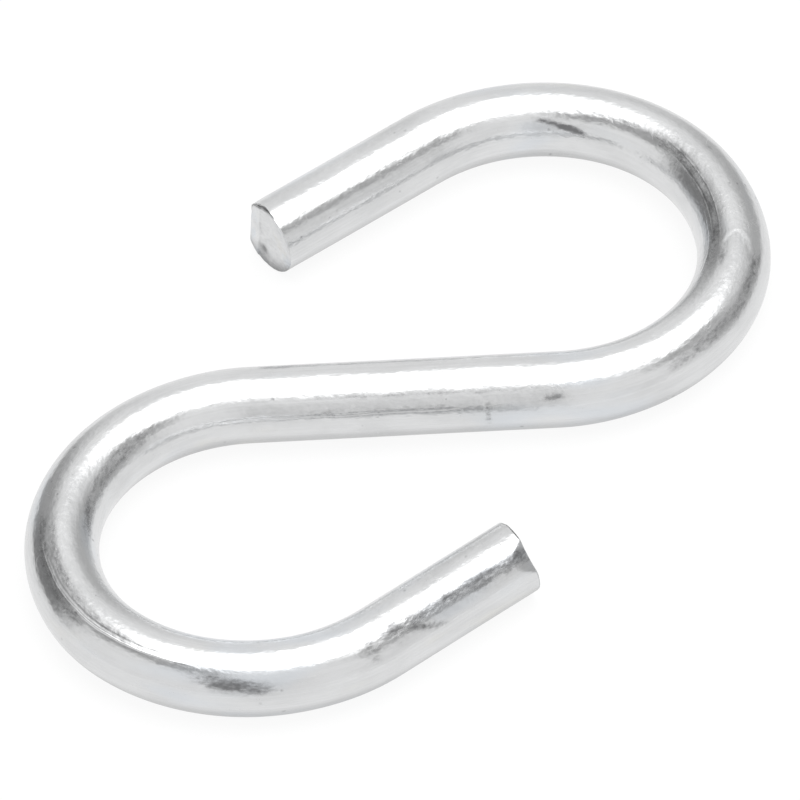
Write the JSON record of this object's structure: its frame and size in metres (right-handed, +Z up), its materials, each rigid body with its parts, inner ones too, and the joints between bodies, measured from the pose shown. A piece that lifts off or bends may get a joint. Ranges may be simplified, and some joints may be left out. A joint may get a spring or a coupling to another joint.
{
  "type": "safety chain hook",
  "caption": "Open S-hook bent from plain round steel bar, zinc-plated, that joins a trailer's safety chain to the tow vehicle's hitch.",
  "frame": {"origin": "under the centre of the hook's outline, on the surface that the hook lies on", "axes": "+X along the load line, from the chain end's seat to the hitch end's seat; +Z up, square to the plane that the bar is bent in"},
  "size_m": [0.1182, 0.0682, 0.0095],
  "materials": {
    "zinc_plated_steel": "bright zinc plating over drawn round bar: satin, with fine lengthwise drawing lines and small handling marks"
  },
  "bodies": {
    "root": {"s_hook": "zinc_plated_steel"}
  },
  "joints": []
}
